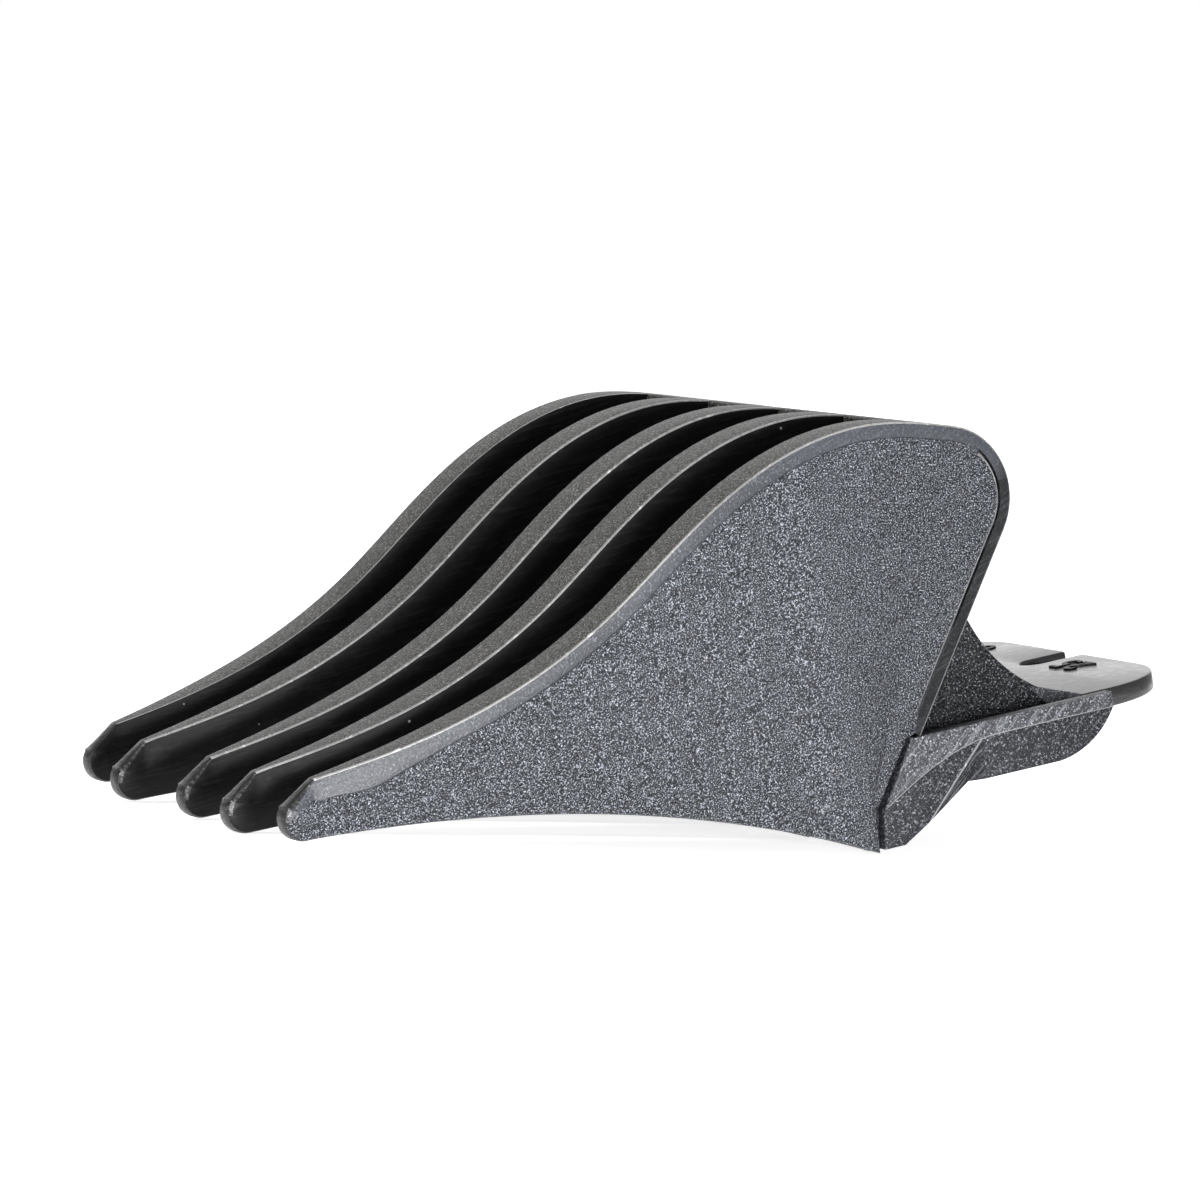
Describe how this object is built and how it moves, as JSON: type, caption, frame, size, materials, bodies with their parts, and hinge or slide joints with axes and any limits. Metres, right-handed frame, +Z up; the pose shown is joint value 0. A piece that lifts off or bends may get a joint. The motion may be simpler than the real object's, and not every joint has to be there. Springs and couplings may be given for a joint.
{
  "type": "hair clipper guide comb",
  "caption": "Slide-on guide comb for a full-size hair clipper: tall curved teeth, a rounded rear wall, side rails for the blade and a slotted snap tongue.",
  "frame": {"origin": "middle of the footprint, on the surface the comb stands on: noses of the teeth and heels", "axes": "+X from the tooth tips to the tongue, +Y to the comb's left seen from behind, +Z up, skin side up"},
  "size_m": [0.0792, 0.0486, 0.0329],
  "materials": {
    "textured_plastic": "charcoal plastic with a coarse spark-eroded texture",
    "satin_plastic": "the same charcoal plastic, satin",
    "polished_plastic": "the same charcoal plastic, polished"
  },
  "bodies": {
    "comb": {"tooth_1": "textured_plastic", "tooth_2": "textured_plastic", "tooth_3": "textured_plastic", "tooth_4": "textured_plastic", "tooth_5": "textured_plastic", "crown": "satin_plastic", "rear_panel": "satin_plastic", "front_bar": "satin_plastic", "back_sweep": "satin_plastic", "tongue_root": "polished_plastic", "body_side_right": "textured_plastic", "ledge_right": "satin_plastic", "rail_right": "textured_plastic", "rail_band_right": "textured_plastic", "body_side_left": "textured_plastic", "ledge_left": "satin_plastic", "rail_left": "textured_plastic", "rail_band_left": "textured_plastic"},
    "tongue": {"tongue_plate": "polished_plastic", "finger_right": "polished_plastic", "finger_left": "polished_plastic", "snap_ridge_right": "satin_plastic", "snap_ridge_left": "satin_plastic", "size_mark_length": "polished_plastic", "size_mark_number": "polished_plastic"}
  },
  "joints": [
    {"name": "tongue_flex", "type": "hinge", "parent": "comb", "child": "tongue", "pos_m": [0.03025, 0, 0.01126], "axis": [0, -1, 0], "range_deg": [0, 5], "stiffness_Nm_per_rad": 2.5}
  ]
}
